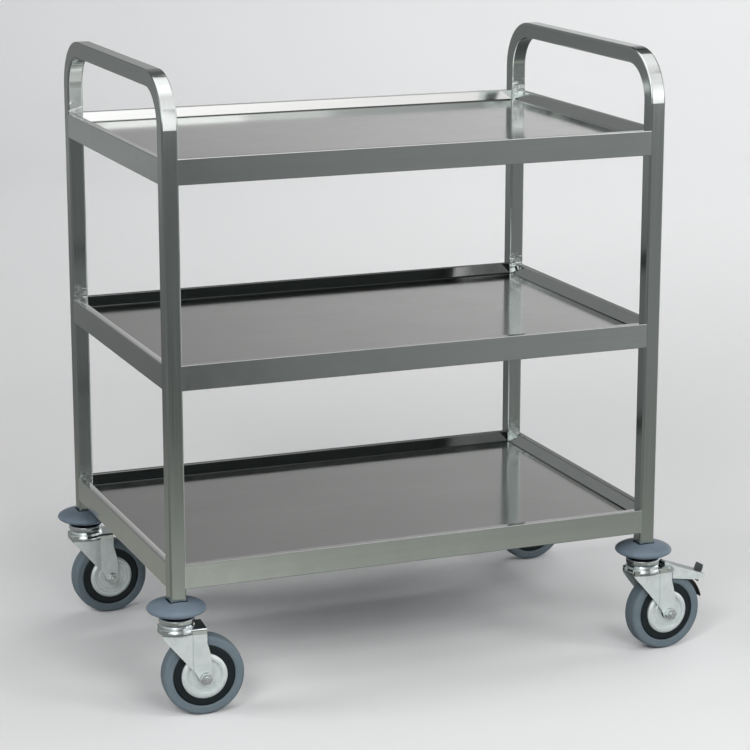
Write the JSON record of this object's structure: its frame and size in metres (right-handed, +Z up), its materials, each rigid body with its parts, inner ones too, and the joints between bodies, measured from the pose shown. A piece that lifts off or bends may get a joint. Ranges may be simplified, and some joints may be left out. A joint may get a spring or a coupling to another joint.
{
  "type": "three-tier trolley",
  "caption": "Serving trolley of satin stainless steel with stacked tray shelves, bent tube end handles, corner bumpers and swivel castors, one pair with foot brakes.",
  "frame": {"origin": "middle of the footprint of the whole trolley on the floor, castors and pedals included", "axes": "+X to the right along the long front side, +Y to the back, +Z up"},
  "size_m": [0.9352, 0.597, 0.965],
  "materials": {
    "stainless": "satin polished stainless tube",
    "stainless_sheet": "satin stainless sheet",
    "zinc": "bright zinc plated pressed steel",
    "ball_steel": "ground steel",
    "dark_steel": "dark matt",
    "bumper_grey": "matt blue-grey moulding",
    "tyre_grey": "matt blue-grey rubber",
    "black_plastic": "black moulding"
  },
  "bodies": {
    "frame": {"left_end_frame": "stainless", "right_end_frame": "stainless", "bottom_shelf": "stainless_sheet", "middle_shelf": "stainless_sheet", "top_shelf": "stainless_sheet", "corner_bumper_front_left": "bumper_grey", "castor_stem_front_left": "zinc", "swivel_race_front_left": "zinc", "corner_bumper_back_left": "bumper_grey", "castor_stem_back_left": "zinc", "swivel_race_back_left": "zinc", "corner_bumper_front_right": "bumper_grey", "castor_stem_front_right": "zinc", "swivel_race_front_right": "zinc", "corner_bumper_back_right": "bumper_grey", "castor_stem_back_right": "zinc", "swivel_race_back_right": "zinc"},
    "fork_front_left": {"castor_fork_front_left": "zinc", "swivel_balls_front_left": "ball_steel", "axle_bolt_front_left": "zinc", "axle_nut_front_left": "zinc", "axle_sleeve_front_left": "ball_steel"},
    "wheel_front_left": {"tyre_front_left": "tyre_grey", "wheel_rim_front_left": "black_plastic", "thread_guards_front_left": "zinc"},
    "fork_back_left": {"castor_fork_back_left": "zinc", "swivel_balls_back_left": "ball_steel", "axle_bolt_back_left": "zinc", "axle_nut_back_left": "zinc", "axle_sleeve_back_left": "ball_steel"},
    "wheel_back_left": {"tyre_back_left": "tyre_grey", "wheel_rim_back_left": "black_plastic", "thread_guards_back_left": "zinc"},
    "fork_front_right": {"castor_fork_front_right": "zinc", "swivel_balls_front_right": "ball_steel", "axle_bolt_front_right": "zinc", "axle_nut_front_right": "zinc", "axle_sleeve_front_right": "ball_steel", "brake_pin_front_right": "zinc"},
    "wheel_front_right": {"tyre_front_right": "tyre_grey", "wheel_rim_front_right": "black_plastic", "thread_guards_front_right": "zinc"},
    "pedal_front_right": {"brake_pedal_front_right": "zinc", "brake_shoe_front_right": "dark_steel"},
    "fork_back_right": {"castor_fork_back_right": "zinc", "swivel_balls_back_right": "ball_steel", "axle_bolt_back_right": "zinc", "axle_nut_back_right": "zinc", "axle_sleeve_back_right": "ball_steel", "brake_pin_back_right": "zinc"},
    "wheel_back_right": {"tyre_back_right": "tyre_grey", "wheel_rim_back_right": "black_plastic", "thread_guards_back_right": "zinc"},
    "pedal_back_right": {"brake_pedal_back_right": "zinc", "brake_shoe_back_right": "dark_steel"}
  },
  "joints": [
    {"name": "swivel_front_left", "type": "hinge", "parent": "frame", "child": "fork_front_left", "pos_m": [-0.4226, -0.2535, 0.1479], "axis": [0, 0, 1], "continuous": true},
    {"name": "wheel_spin_front_left", "type": "hinge", "parent": "fork_front_left", "child": "wheel_front_left", "pos_m": [-0.38475, -0.25681, 0.0625], "axis": [0.0872, 0.9962, 0], "continuous": true},
    {"name": "swivel_back_left", "type": "hinge", "parent": "frame", "child": "fork_back_left", "pos_m": [-0.4226, 0.2535, 0.1479], "axis": [0, 0, 1], "continuous": true},
    {"name": "wheel_spin_back_left", "type": "hinge", "parent": "fork_back_left", "child": "wheel_back_left", "pos_m": [-0.38461, 0.25416, 0.0625], "axis": [-0.0175, 0.9998, 0], "continuous": true},
    {"name": "swivel_front_right", "type": "hinge", "parent": "frame", "child": "fork_front_right", "pos_m": [0.3574, -0.2535, 0.1479], "axis": [0, 0, 1], "continuous": true},
    {"name": "wheel_spin_front_right", "type": "hinge", "parent": "fork_front_right", "child": "wheel_front_right", "pos_m": [0.39531, -0.25085, 0.0625], "axis": [-0.0698, 0.9976, 0], "continuous": true},
    {"name": "brake_front_right", "type": "hinge", "parent": "fork_front_right", "child": "pedal_front_right", "pos_m": [0.39581, -0.25081, 0.1365], "axis": [-0.0698, 0.9976, 0], "range_deg": [0, 3]},
    {"name": "swivel_back_right", "type": "hinge", "parent": "frame", "child": "fork_back_right", "pos_m": [0.3574, 0.2535, 0.1479], "axis": [0, 0, 1], "continuous": true},
    {"name": "wheel_spin_back_right", "type": "hinge", "parent": "fork_back_right", "child": "wheel_back_right", "pos_m": [0.39538, 0.25483, 0.0625], "axis": [-0.0349, 0.9994, 0], "continuous": true},
    {"name": "brake_back_right", "type": "hinge", "parent": "fork_back_right", "child": "pedal_back_right", "pos_m": [0.39588, 0.25484, 0.1365], "axis": [-0.0349, 0.9994, 0], "range_deg": [0, 3]}
  ]
}
